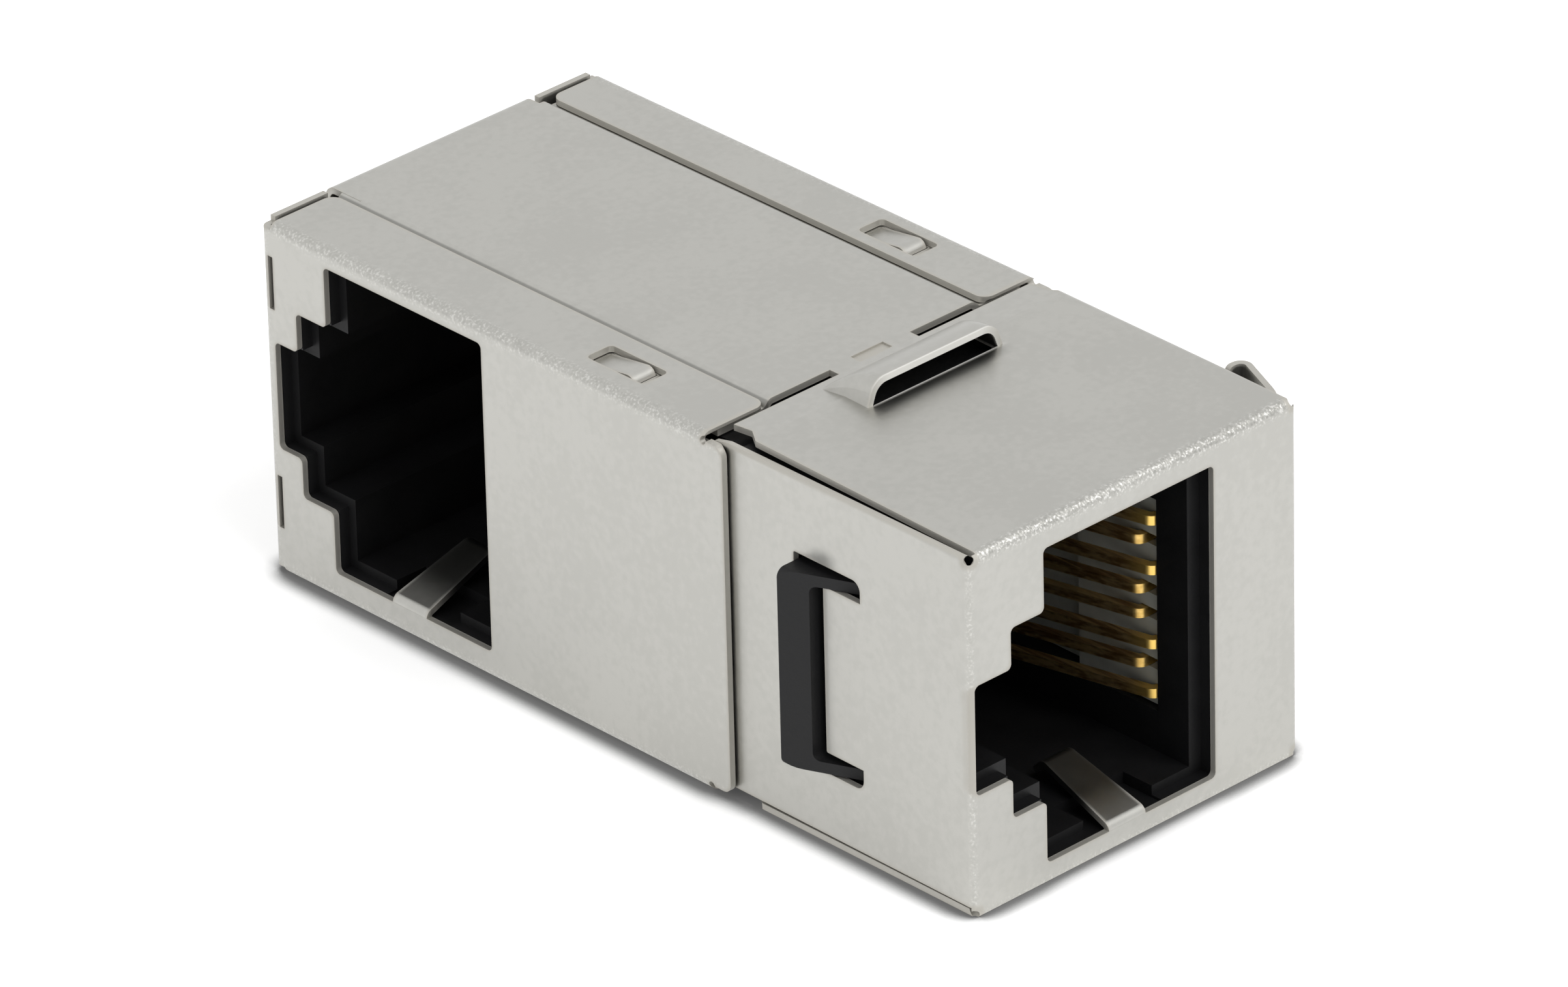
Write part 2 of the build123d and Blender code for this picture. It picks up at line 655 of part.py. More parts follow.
def side_rib():
    """The wedge-shaped rib, a C seen from the side, that stands through the slot in the left wall."""
    wall = -FRONT_HOUSING_HALF
    plan = [
        (wall + SHEET, RIB_BACK),
        (wall - RIB_PROUD, RIB_BACK),
        (wall, RIB_FRONT),
        (wall + SHEET, RIB_FRONT),
    ]
    inner = wall + 1
    outer = wall - RIB_PROUD
    rear_view = Pos((inner + outer) / 2, (RIB_LOW + RIB_HIGH) / 2) * RectangleRounded(
        inner - outer, RIB_HIGH - RIB_LOW, RIB_CORNER
    )
    rib = prism(plan, Plane.XY, RIB_LOW, RIB_HIGH) & extrude(Plane.XZ * rear_view, -FAR)
    between = Pos(RIB_BAR_FRONT / 2, (RIB_LOW + RIB_HIGH) / 2) * RectangleRounded(
        RIB_BAR_FRONT, RIB_HIGH - RIB_LOW - 2 * RIB_ARM, RIB_INNER_CORNER
    )
    return rib - Pos(wall, 0, 0) * extrude(Plane.YZ * between, FAR, dir=(-1, 0, 0))


def posts(x, start, direction):
    """Two stepped posts that hold the board: each has a shoulder on its face and a pin in its hole."""
    face = BOARD_FRONT - SHEET_GAP if direction > 0 else BOARD_BACK + SHEET_GAP
    end = (BOARD_FRONT + BOARD_BACK) / 2 + direction * BOARD_THICK / 4
    pair = []
    for up in (-1, 1):
        axis = Plane(origin=(x, start, MIDDLE + up * POST_RISE), z_dir=(0, direction, 0))
        pair.append(extrude(axis * Circle(POST_RADIUS), abs(face - start)))
        pair.append(extrude(axis * Circle(PIN_RADIUS), abs(end - start)))
    return pair


def front_housing():
    """The moulding behind the front face."""
    step = MARGIN_TOP - SHEET - 2 * SHEET_GAP
    low = SHEET + SHEET_GAP
    high = FACE_HEIGHT - SHEET - HOUSING_CLEARANCE
    front = SHEET + SHEET_GAP
    body = block((-FRONT_HOUSING_HALF, FRONT_HOUSING_HALF), (front, NECK_FULL), (low, high))
    body += block(
        (-FRONT_HOUSING_HALF + SHEET, FRONT_HOUSING_HALF - SHEET),
        (NECK_FULL, FRONT_HOUSING_BACK),
        (REAR_HEIGHT - step, step),
    )
    body -= plug_cavity(FRONT_PORT, FRONT_PORT_NARROW, FAR)
    body += side_rib()
    body += posts(FRONT_POST_X, FRONT_HOUSING_BACK, 1)
    return body


def side_housing():
    """The moulding behind the left wall, at the back."""
    step = MARGIN_TOP - SHEET - 2 * SHEET_GAP
    left = REAR_LEFT + SHEET + SHEET_GAP
    right = REAR_RIGHT - SHEET - SHEET_GAP
    back = REAR_WALL_BACK - SHEET - SHEET_GAP
    body = block((left, right), (SIDE_HOUSING_FRONT, back), (REAR_HEIGHT - step, step))
    body = fillet(body.edges().filter_by(Axis.Z).group_by(Axis.Y)[-1], HOUSING_CORNER)
    body -= plug_cavity(SIDE_PORT, SIDE_PORT_NARROW, FAR)
    tails = (SIDE_TAIL_NEAR - 1, SIDE_TAIL_FAR + 1)
    body -= SIDE_PORT.location * block((-FAR, 0), (-POCKET_HALF, POCKET_HALF), tails)
    body += posts(SIDE_POST_X, SIDE_HOUSING_FRONT, -1)
    return body


# The contacts


def contact_height(number):
    """The height of one contact above the port's middle. Number 1 is the highest."""
    return ((CONTACTS + 1) / 2 - number) * CONTACT_PITCH - CONTACT_DROP


def contact_run(number):
    """Where one wire's run lies in its plate: the odd ones near the port, the even ones deeper."""
    return -RUN_NEAR if number % 2 == 1 else -RUN_FAR


def contact_front(number):
    """How far behind the face one wire folds back."""
    return CONTACT_LONG_FRONT if number in LONG_CONTACTS else CONTACT_SHORT_FRONT


def side_row(number):
    """How deep in the side port one wire's tail turns towards the board."""
    return SIDE_TAIL_NEAR if number % 2 == 1 else SIDE_TAIL_FAR


def front_tail(number):
    """A front contact's tail runs straight back through the board."""
    return [(contact_run(number), BOARD_BACK + TAIL_STICK_OUT)]


def side_tail(number):
    """A side contact's tail turns towards the front and through the board."""
    row = side_row(number)
    return [(BOARD_FRONT - TAIL_STICK_OUT - SIDE_PORT_EDGE, row), (contact_run(number), row)]


def contact(plane, number, tail):
    """One contact: its tail, its run through the plate, the fold at the mouth and the long slope.

    The bends that the plate hides are square, and the two at the ends of the slope are round.
    """
    front = contact_front(number)
    deep = CONTACT_START + CONTACT_SLOPE * (CONTACT_DEEP - front)
    points = tail(number) + [
        (contact_run(number), front),
        (CONTACT_START, front),
        (deep, CONTACT_DEEP),
        (deep - CONTACT_TIP / 2, CONTACT_DEEP + CONTACT_TIP),
    ]
    origin = plane.from_local_coords((0, contact_height(number), 0))
    flat = Plane(origin=origin, x_dir=plane.x_dir, z_dir=-plane.y_dir)
    bends = [0] * (len(points) - 4) + [WIRE_BEND, WIRE_BEND]
    return strip(points, bends, flat, WIRE_WIDE, WIRE_THICK)


def channels(number, turned):
    """The square channels in a plate for one wire's fold, run and tail, in the port's frame."""
    run = contact_run(number)
    height = contact_height(number)
    half = WIRE_WIDE / 2 + WIRE_CLEARANCE
    wide = (height - half, height + half)
    side = WIRE_THICK / 2 + WIRE_CLEARANCE
    end = side_row(number) if turned else FAR
    cuts = [
        block((run - side, FAR), wide, (0, contact_front(number) + side)),
        block((run - side, run + side), wide, (0, end)),
    ]
    if turned:
        cuts.append(block((-FAR, run + side), wide, (end - side, end + side)))
    return cuts


def contact_block(plane, turned):
    """The plate that holds the contacts, lower behind its step. In the side port the tails turn."""
    wide = (-BLOCK_HALF, BLOCK_HALF)
    plate = block((-BLOCK_SIDE, BLOCK_FACE), wide, (BLOCK_FRONT, BLOCK_STEP_BACK))
    plate += block((-BLOCK_SIDE, BLOCK_STEP_FACE), wide, (BLOCK_FRONT, BLOCK_BACK))
    for number in range(1, CONTACTS + 1):
        plate -= channels(number, turned)
    return plane.location * plate


# The board


def circuit_board():
    """The board, with an eight-sided hole for each tail and a round one for each pin."""
    board = block(
        (-BOARD_HALF_WIDTH, BOARD_HALF_WIDTH), (BOARD_FRONT, BOARD_BACK), (BOARD_LOW, BOARD_HIGH)
    )
    tail_hole = RegularPolygon(BOARD_HOLE, 8)
    pin_hole = Circle(PIN_RADIUS + PIN_CLEARANCE)
    holes = []
    for number in range(1, CONTACTS + 1):
        height = contact_height(number)
        front_x = FRONT_PORT_EDGE - contact_run(number)
        side_x = REAR_LEFT + side_row(number)
        holes.append((front_x, FRONT_PORT_HEIGHT + height, tail_hole))
        holes.append((side_x, SIDE_PORT_HEIGHT + height, tail_hole))
    for x in (FRONT_POST_X, SIDE_POST_X):
        for up in (-1, 1):
            holes.append((x, MIDDLE + up * POST_RISE, pin_hole))
    for x, height, hole in holes:
        drill = Plane(origin=(x, BOARD_FRONT - SHEET, height), z_dir=(0, 1, 0))
        board -= extrude(drill * hole, BOARD_THICK + 2 * SHEET)
    return board


def main():
    """Make each piece and write it, with the origin in the middle of the underside."""
    pieces = {
        "front_shield": front_shield(),
        "rear_shield": rear_shield(),
        "front_housing": front_housing(),
        "side_housing": side_housing(),
        "front_contact_block": contact_block(FRONT_PORT, False),
        "side_contact_block": contact_block(SIDE_PORT, True),
        "circuit_board": circuit_board(),
    }
    for number in range(1, CONTACTS + 1):
        pieces[f"front_contact_{number}"] = contact(FRONT_PORT, number, front_tail)
        pieces[f"side_contact_{number}"] = contact(SIDE_PORT, number, side_tail)
    os.makedirs("parts", exist_ok=True)
    for name, piece in pieces.items():
        export_step(Pos(0, -TAIL_BACK / 2, 0) * piece, f"parts/{name}.step")
        print(name, len(piece.solids()), "solids", round(piece.volume, 3), "mm3")


main()
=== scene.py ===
# %% [markdown]
# # A shielded coupler for two network plugs
#
# The real object is a small metal box, about 37 mm long, that joins two network cables. One plug goes
# in at the front, the other in at the left side near the back. Two sheets of nickel-plated metal, cut
# and folded on a press, make the outside. Inside are two black mouldings and two rows of gilded wires.
#
# The solids come from the CAD model, already in place and in metres. This notebook gives them their
# finishes, a camera and a light tent, and changes none of their shapes.

# %% The frame
import math

import bpy
from mathutils import Matrix, Vector


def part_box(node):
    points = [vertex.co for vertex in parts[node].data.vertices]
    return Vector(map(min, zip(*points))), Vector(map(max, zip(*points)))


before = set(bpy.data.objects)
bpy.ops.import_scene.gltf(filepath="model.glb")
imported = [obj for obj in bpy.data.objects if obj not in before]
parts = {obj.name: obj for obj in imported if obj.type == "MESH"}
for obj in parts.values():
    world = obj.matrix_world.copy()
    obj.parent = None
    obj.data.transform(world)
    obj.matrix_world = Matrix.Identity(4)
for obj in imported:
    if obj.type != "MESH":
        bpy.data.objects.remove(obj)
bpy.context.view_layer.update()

print(len(parts), "solids loaded:", ", ".join(sorted(parts)))

# %% [markdown]
# Everything that follows is measured in millimetres, as it would be on a drawing, and Blender works in
# metres, so one value turns one into the other. The front face of the box lies half a length in front
# of the origin, and most places are found from the solids themselves. That way a pattern stays on its
# fold if the CAD model changes by a little. The front sheet's own top and sides are typed in, because
# the bump and the spring on its right wall reach past them.

# %% Units and the outsides of the two sheets
MM = 0.001
FACE_TOP = 14.65
FACE_SIDE = 8.2


def edges_in_mm(name):
    """The lowest and highest corner of a solid, in millimetres."""
    low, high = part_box(name)
    return [v / MM for v in low], [v / MM for v in high]


FACE_Y = edges_in_mm("front_shield")[0][1]
(REAR_LEFT, _, _), (REAR_RIGHT, REAR_BACK, REAR_TOP) = edges_in_mm("rear_shield")
print("front face at", round(FACE_Y, 2), "mm; rear unit", round(REAR_RIGHT - REAR_LEFT, 2), "mm wide")

# %% [markdown]
# A colour picked from a screen is in sRGB, and a shader wants linear light. One function does that for
# every colour here, with the numbers of the sRGB standard. A second small function adds a node to a
# material, sets what it is given and links what it is handed. It keeps each material down to a few
# lines that read in the order of the graph.

# %% Colours and nodes


def linear(hex_colour):
    """An sRGB hex colour as linear red, green, blue and alpha."""
    channels = [int(hex_colour[i : i + 2], 16) / 255 for i in (1, 3, 5)]
    light = [c / 12.92 if c <= 0.04045 else ((c + 0.055) / 1.055) ** 2.4 for c in channels]
    return (*light, 1.0)


def add(tree, kind, inputs=None, output=0, **settings):
    """Adds a node, sets or links its inputs, and gives back one output, or all of them for None."""
    node = tree.nodes.new("ShaderNode" + kind)
    for name, value in settings.items():
        setattr(node, name, value)
    for name, value in (inputs or {}).items():
        if isinstance(value, bpy.types.NodeSocket):
            tree.links.new(value, node.inputs[name])
        else:
            node.inputs[name].default_value = value
    return node.outputs if output is None else node.outputs[output]


WHITE = linear("#ffffff")
print("white is", [round(c, 3) for c in WHITE])

# %% [markdown]
# Every finish here needs the same three things: where something lies, which colour lies there, and a
# shader that takes the result. Where it lies is a product of limits. A limit runs softly from nothing
# to full between two places, along an axis or in a noise. Colours are then laid over each other like
# coats of paint, each only where its own limits are met. The places are those of the solid itself, so
# a pattern keeps its place on the metal when the object is seen from another side.
#
# The mix node has a set of sockets for each kind of value, so its colours are found by number: what
# lies under, what is laid over, and the output that carries the mixed colour.

# %% Places, limits and coats
MIX_UNDER, MIX_OVER, MIX_COLOUR = 6, 7, 2


def empty_tree(owner):
    """The node tree of a material or a world, with nothing in it yet."""
    owner.use_nodes = True
    owner.node_tree.nodes.clear()
    return owner.node_tree


def new_material(name):
    """A material with its empty node tree, and the place on the solid in millimetres."""
    material = bpy.data.materials.new(name)
    tree = empty_tree(material)
    metres = add(tree, "TexCoord", output="Object")
    millimetres = add(tree, "VectorMath", {0: metres, 1: (1 / MM,) * 3}, operation="MULTIPLY")
    return material, tree, millimetres


def show(tree, shader):
    """Leads a shader to the material's output."""
    add(tree, "OutputMaterial", {0: shader}, output=None)


def within(tree, *limits, strength=1.0):
    """The strength where every limit is met, falling softly to nothing outside.

    A limit is a mask, or a value with where it is nothing and where it is full.
    """
    total = strength
    for limit in limits:
        if isinstance(limit, tuple):
            inputs = dict(zip(("Value", "From Min", "From Max"), limit))
            limit = add(tree, "MapRange", inputs, interpolation_type="SMOOTHSTEP")
        total = add(tree, "Math", {0: total, 1: limit}, operation="MULTIPLY")
    return total


def between(value, start, end, soft):
    """Two limits that keep what lies between two places, with soft borders outside them."""
    return (value, start - soft, start), (value, end + soft, end)


def layered(tree, base, *coats):
    """A colour with others laid over it. Each coat is where it lies and its colour."""
    under = linear(base)
    for where, colour in coats:
        over = linear(colour) if isinstance(colour, str) else colour
        inputs = {"Factor": where, MIX_UNDER: under, MIX_OVER: over}
        under = add(tree, "Mix", inputs, output=MIX_COLOUR, data_type="RGBA")
    return under


print("one metre is", round(1 / MM), "millimetres")

# %% [markdown]
# ## Nickel-plated sheet
#
# Both shields are stamped from thin sheet and plated with nickel. Rolling leaves the sheet satin, not
# mirror bright, with pale clouds a few millimetres across and a fine mottling inside them. Where the
# press folds it, the outer skin is stretched and its crystals show as bright specks. Where the press
# cuts it, the edge is torn rather than rolled: it is rougher, and a little browner, because it shows
# the metal under the plating. Even in a narrow slit a rough edge catches some light, where a smooth one
# would only mirror the dark inside.
#
# The clouds and specks could be painted by hand. Noise in the solid's own millimetres is better here,
# because it runs round a corner without a seam. A fold is found by its two planes: a point near both
# is on the fold. A cut edge is found with ambient occlusion that looks into the metal: on a flat face
# the far side is a whole sheet away, and on a cut edge both faces are near.

# %% Where the sheet is folded and cut
SHEET = 0.25
CUT_LOOKS_IN = 0.92 * SHEET
CUT_SPAN = (0.9, 0.5)


def fold_mask(tree, place, folds):
    """How much a point is on one of the folds. Each fold is two planes, a reach and a strength."""
    total = 0.0
    for *planes, reach, strength in folds:
        limits = [limit for axis, at in planes for limit in between(place[axis], at, at, reach)]
        one = within(tree, *limits, strength=strength)
        total = add(tree, "Math", {0: total, 1: one}, operation="MAXIMUM")
    return total


def cut_mask(tree):
    """One on the cut edges of a sheet and nothing on its faces."""
    reach = {"Distance": CUT_LOOKS_IN * MM}
    open_inside = add(tree, "AmbientOcclusion", reach, output="AO", samples=8, inside=True, only_local=True)
    return within(tree, (open_inside, *CUT_SPAN))


print("sheet", SHEET, "mm thick")

# %% [markdown]
# In front of the bump the press also pulled the sheet down, and there it turns away from the light and
# mirrors the dark opening. A soft dark strip of painted shade stands for that dip, and a thin painted
# highlight for the lip of the opening. Two more painted shades are placed the same way: a painted shadow
# in the groove beside the left band, where the step of the band's edge shades it, and a painted shade on
# the left wall above the moulded rib, where the wall is pressed in a little. Each of these could be a dent
# in the solid, but they are hundredths of a millimetre deep, and painted shade is enough for the eye.

# %% Painted shade and highlight on the front sheet
# Painted shade for the dip and the wall above the rib, a painted highlight for the lip, painted shadow for
# the groove.
PAINTED_SHADE_GREY = "#5a5a57"
LIP_PAINTED_HIGHLIGHT = "#eeede9"
GROOVE_PAINTED_SHADOW = "#4c4c49"
LIP_Y = FACE_Y + 10.2
LIP_WIDE = 0.12
DIP_LEFT = (-3.6, -2.0)
DIP_RIGHT = (3.9, 2.3)
DIP_FRONT = (LIP_Y - 0.8, LIP_Y - 0.22)
DIP_BACK = (LIP_Y - 0.09, LIP_Y - 0.16)
DIP_STRENGTH = 0.7
COVER_SKIN = (14.5, 14.6)
GROOVE_ACROSS = (-5.28, -5.08)
GROOVE_ALONG = (FACE_Y + 13.4, FACE_Y + 36.2)
GROOVE_SIDE_SOFT = 0.07
GROOVE_END_SOFT = 0.1
GROOVE_SKIN = (14.2, 14.3)
GROOVE_STRENGTH = 0.5
# Where the painted shade on the left wall above the rib lies.
WALL_SHADE_Y = FACE_Y + 7.4
WALL_SHADE_HALF_WIDE = 0.85
WALL_SHADE_UP = (11.4, 11.75)
WALL_SHADE_SOFT = 0.45
WALL_SHADE_STRENGTH = 0.6
WALL_SKIN = (-FACE_SIDE + 0.1, -FACE_SIDE + 0.02)


def front_painted_light(tree, place):
    """Painted shade in the dip and above the rib, a painted highlight on the lip, painted shadow in the
    groove.
    """
    x, y, z = place["X"], place["Y"], place["Z"]
    bump = within(tree, (x, *DIP_LEFT), (x, *DIP_RIGHT), (z, *COVER_SKIN))
    # Painted dark reflection in the dip in front of the bump.
    dip = within(tree, bump, (y, *DIP_FRONT), (y, *DIP_BACK), strength=DIP_STRENGTH)
    # Painted highlight along the lip of the bump's opening.
    lip = within(tree, bump, *between(y, LIP_Y, LIP_Y, LIP_WIDE))
    groove_x = between(x, *GROOVE_ACROSS, GROOVE_SIDE_SOFT)
    groove_y = between(y, *GROOVE_ALONG, GROOVE_END_SOFT)
    # Painted shadow in the groove beside the left band.
    groove = within(tree, *groove_x, *groove_y, (z, *GROOVE_SKIN), strength=GROOVE_STRENGTH)
    # Painted shade on the left wall above the rib.
    wall_shade_y = between(y, WALL_SHADE_Y, WALL_SHADE_Y, WALL_SHADE_HALF_WIDE)
    wall_shade_z = between(z, *WALL_SHADE_UP, WALL_SHADE_SOFT)
    wall_shade = within(tree, *wall_shade_y, *wall_shade_z, (x, *WALL_SKIN), strength=WALL_SHADE_STRENGTH)
    return [(dip, PAINTED_SHADE_GREY), (lip, LIP_PAINTED_HIGHLIGHT), (groove, GROOVE_PAINTED_SHADOW), (wall_shade, PAINTED_SHADE_GREY)]


def no_shades(tree, place):
    """The rear sheet has none."""
    return []


print("lip of the bump", round(LIP_Y - FACE_Y, 2), "mm behind the front face")

# %% [markdown]
# A spring tongue slopes up into each port, to touch the plug's own shield. Inwards from its root it is
# painted darker, as a painted reflection of the dark inside of the port. The same function finds both
# tongues: it is told which way is inwards, where the mouth of the port is, and where its middle lies.

# %% Painted dark reflection on the tongues
# Painted dark reflection on the spring tongues, and how strongly it covers them.
TONGUE_PAINTED_REFLECTION = "#3d3d3b"
TONGUE_REFLECTION_STRENGTH = 0.85
TONGUE_ROOT = (0.35, 1.9)
TONGUE_END = (9.5, 8.5)
TONGUE_HALF = 3.0
TONGUE_LOW, TONGUE_HIGH = 0.55, 6.0
TONGUE_SOFT = 0.1
FRONT_PORT_X = -0.5
SIDE_PORT_Y = FACE_Y + 29.4


def tongue_mask(tree, place, inward, mouth, sideways, middle):
    """One on the spring tongue of a port, from a little inwards of its root."""
    in_axis, side_axis = place[inward], place[sideways]
    root = (in_axis, *[mouth + inwards for inwards in TONGUE_ROOT])
    end = (in_axis, *[mouth + inwards for inwards in TONGUE_END])
    across = between(side_axis, middle - TONGUE_HALF, middle + TONGUE_HALF, TONGUE_SOFT)
    off_floor = between(place["Z"], TONGUE_LOW, TONGUE_HIGH, TONGUE_SOFT)
    return within(tree, root, end, *across, *off_floor)


front_tongue = ("Y", FACE_Y, "X", FRONT_PORT_X)
side_tongue = ("X", REAR_LEFT, "Y", SIDE_PORT_Y)
print("tongues", 2 * TONGUE_HALF, "mm wide at most")

# %% [markdown]
# Now the plate itself. Nickel is a warm, light grey metal. Its roughness follows the clouds, because
# the rolls don't press evenly. The real grain and crystals are hundredths of a millimetre wide, finer
# than a pixel, so they are drawn a few times coarser and show as a faint unevenness and as specks.

# %% Nickel plate
NICKEL = "#b8b7b2"
NICKEL_CLOUD = "#b3b2ad"
NICKEL_SPECK = "#f3f2ee"
NICKEL_PIT = "#8f8f89"
CUT_EDGE = "#b6b3ab"
CLOUD_SIZE = 3.2
MOTTLE_SIZE = 0.35
GRAIN_SIZE = 0.22
SPECK_SIZE = 0.1
CLOUD_SPAN = (0.4, 0.6)
SPECK_SPAN = (0.52, 0.70)
PIT_SPAN = (0.46, 0.32)
PIT_STRENGTH = 0.6
SATIN_SPAN = {"From Min": 0.3, "From Max": 0.7, "To Min": 0.33, "To Max": 0.39}
GRAIN_HEIGHT = 0.02
CRYSTAL_HEIGHT = 0.022
EDGE_METALLIC = 0.45
EDGE_ROUGHNESS = 0.25
# How far the cut edges fade under the tongue's painted dark reflection.
EDGE_FADE_ON_TONGUE = 0.8


def nickel_plate(name, folds, tongue, shades):
    """Satin nickel plate: clouds, bright specks on the folds, torn edges and a painted dark reflection on
    the tongue.
    """
    material, tree, millimetres = new_material(name)
    place = add(tree, "SeparateXYZ", {0: millimetres}, output=None)
    clouds = add(tree, "TexNoise", {"Vector": millimetres, "Scale": 1 / CLOUD_SIZE, "Detail": 4.0})
    mottle = add(tree, "TexNoise", {"Vector": millimetres, "Scale": 1 / MOTTLE_SIZE, "Detail": 4.0})
    grain = add(tree, "TexNoise", {"Vector": millimetres, "Scale": 1 / GRAIN_SIZE, "Detail": 3.0})
    specks = add(tree, "TexNoise", {"Vector": millimetres, "Scale": 1 / SPECK_SIZE, "Detail": 1.0})
    uneven = add(tree, "Mix", {"Factor": 0.5, "A": clouds, "B": mottle})
    on_fold = fold_mask(tree, place, folds)
    # Painted dark reflection on the spring tongue, with the cut edges faded under it.
    dark_reflection = tongue_mask(tree, place, *tongue)
    edge_faded = within(tree, dark_reflection, strength=EDGE_FADE_ON_TONGUE)
    edge_left = add(tree, "Math", {0: 1.0, 1: edge_faded}, operation="SUBTRACT")
    cut = within(tree, cut_mask(tree), edge_left)

    colour = layered(
        tree,
        NICKEL_CLOUD,
        (within(tree, (uneven, *CLOUD_SPAN)), NICKEL),
        (within(tree, (specks, *SPECK_SPAN), on_fold), NICKEL_SPECK),
        (within(tree, (specks, *PIT_SPAN), on_fold, strength=PIT_STRENGTH), NICKEL_PIT),
        (cut, CUT_EDGE),
        # Painted dark reflection on the tongue.
        (within(tree, dark_reflection, strength=TONGUE_REFLECTION_STRENGTH), TONGUE_PAINTED_REFLECTION),
        *shades(tree, place),
    )
    satin = add(tree, "MapRange", {"Value": clouds, **SATIN_SPAN}, interpolation_type="SMOOTHSTEP")
    torn = within(tree, cut, strength=EDGE_ROUGHNESS)
    roughness = add(tree, "Math", {0: satin, 1: torn}, operation="ADD")
    torn_metal = {"Value": cut, "To Min": 1.0, "To Max": EDGE_METALLIC}
    metallic = add(tree, "MapRange", torn_metal, interpolation_type="SMOOTHSTEP")
    fine = add(tree, "Bump", {"Height": grain, "Strength": 0.16, "Distance": GRAIN_HEIGHT * MM})
    on_crystals = {"Height": specks, "Strength": on_fold, "Distance": CRYSTAL_HEIGHT * MM, "Normal": fine}
    crystals = add(tree, "Bump", on_crystals)
    sockets = {"Base Color": colour, "Metallic": metallic, "Roughness": roughness, "Normal": crystals}
    show(tree, add(tree, "BsdfPrincipled", sockets))
    print(name, "has", len(folds), "folds and", len(tree.nodes), "nodes")
    return material


# %% [markdown]
# A fold is given by its two planes, then how far its specks reach and how strong they are. The fold
# above the front port is the tightest one in the photograph, and its specks are the brightest.

# %% The two sheets
front_folds = [
    (("Y", FACE_Y), ("Z", FACE_TOP), 0.55, 0.9),
    (("Y", FACE_Y), ("X", -FACE_SIDE), 0.3, 0.4),
    (("Y", FACE_Y), ("X", FACE_SIDE), 0.3, 0.4),
    (("Y", FACE_Y), ("Z", 0.0), 0.4, 0.3),
]
rear_folds = [
    (("X", REAR_LEFT), ("Z", REAR_TOP), 0.7, 0.4),
    (("X", REAR_RIGHT), ("Z", REAR_TOP), 0.7, 0.4),
    (("X", REAR_LEFT), ("Z", 0.0), 0.7, 0.4),
    (("X", REAR_RIGHT), ("Z", 0.0), 0.7, 0.4),
    (("X", REAR_LEFT), ("Y", REAR_BACK), 0.6, 0.3),
    (("X", REAR_RIGHT), ("Y", REAR_BACK), 0.6, 0.3),
]
front_nickel = nickel_plate("front_nickel_plate", front_folds, front_tongue, front_painted_light)
rear_nickel = nickel_plate("rear_nickel_plate", rear_folds, side_tongue, no_shades)

# %% [markdown]
# ## Black glass-filled plastic
#
# The housings are moulded from black PBT with short glass fibres. The mould is finely spark-eroded, so
# the surface is matt with a soft sheen, and the fibres show as a faint unevenness. A Principled shader
# with a plastic's IOR and a fine bump is all that it needs. The pits of the texture swallow part of the
# sheen, so the specular level is under half of a polished plastic's. The pits are drawn a tenth of a
# millimetre wide, coarser than they are, so that they show.

# %% Black plastic
PBT_DEEP = "#0b0b0c"
PBT_BLACK = "#1b1b1c"
# Painted light: the rib at the outer face is a little lighter than the darker inside.
PBT_PAINTED_LIGHT = "#1f1f20"
SPARK_SIZE = 0.12
SPARK_DEPTH = 0.02
FLOW_SIZE = 1.5
RIB_SPAN = (-7.8, -8.2)


def black_plastic(name):
    """Matt black moulded plastic with a spark-eroded texture, and painted light on the rib at the outer
    face.
    """
    material, tree, millimetres = new_material(name)
    place = add(tree, "SeparateXYZ", {0: millimetres}, output=None)
    sparks = add(tree, "TexNoise", {"Vector": millimetres, "Scale": 1 / SPARK_SIZE, "Detail": 2.0})
    flow = add(tree, "TexNoise", {"Vector": millimetres, "Scale": 1 / FLOW_SIZE, "Detail": 3.0})
    # Painted light on the rib at the outer face.
    rib_painted_light = within(tree, (place["X"], *RIB_SPAN))
    sockets = {
        "Base Color": layered(tree, PBT_DEEP, (flow, PBT_BLACK), (rib_painted_light, PBT_PAINTED_LIGHT)),
        "Roughness": 0.45,
        "IOR": 1.5,
        "Specular IOR Level": 0.22,
        "Normal": add(tree, "Bump", {"Height": sparks, "Strength": 0.25, "Distance": SPARK_DEPTH * MM}),
    }
    show(tree, add(tree, "BsdfPrincipled", sockets))
    return material


housing_plastic = black_plastic("black_glass_filled_pbt")
print("plastic texture", SPARK_SIZE, "mm")

# %% [markdown]
# ## The contact plates
#
# Behind the wires of each port stands the plate that holds them. In the photograph it is a milky grey,
# so it is natural, unfilled plastic. A little subsurface light would be right for it, but the plate is
# deep in a dark port, and a plain diffuse grey with slight clouding looks the same there.

# %% Natural plastic
NATURAL_LIGHT = "#acaea7"
NATURAL_DARK = "#8d8f89"
HAZE_SIZE = 0.9


def natural_plastic(name):
    """Milky grey unfilled plastic."""
    material, tree, millimetres = new_material(name)
    haze = add(tree, "TexNoise", {"Vector": millimetres, "Scale": 1 / HAZE_SIZE, "Detail": 3.0})
    colour = layered(tree, NATURAL_DARK, (haze, NATURAL_LIGHT))
    show(tree, add(tree, "BsdfPrincipled", {"Base Color": colour, "Roughness": 0.5, "IOR": 1.5}))
    return material


plate_plastic = natural_plastic("natural_pbt")
print("plate colours", NATURAL_LIGHT, NATURAL_DARK)

# %% [markdown]
# ## Gold plate on spring wire
#
# The wires are phosphor bronze with gold where the plug touches them. The gold is brightest at the
# rounded fold in the mouth of the port. Further in it is thinner, and the brown of the bronze comes
# through in streaks. Drawing the wire leaves fine lines along it. They are far finer than a pixel, so
# they are drawn a tenth of a millimetre apart.
#
# Each port's wires run in along their own direction, so the finish is made once for each port: it is
# told the axis and the place of the folds, and the gold thins out within a millimetre and a half of
# them. Lines and streaks are one noise each, stretched along that axis.

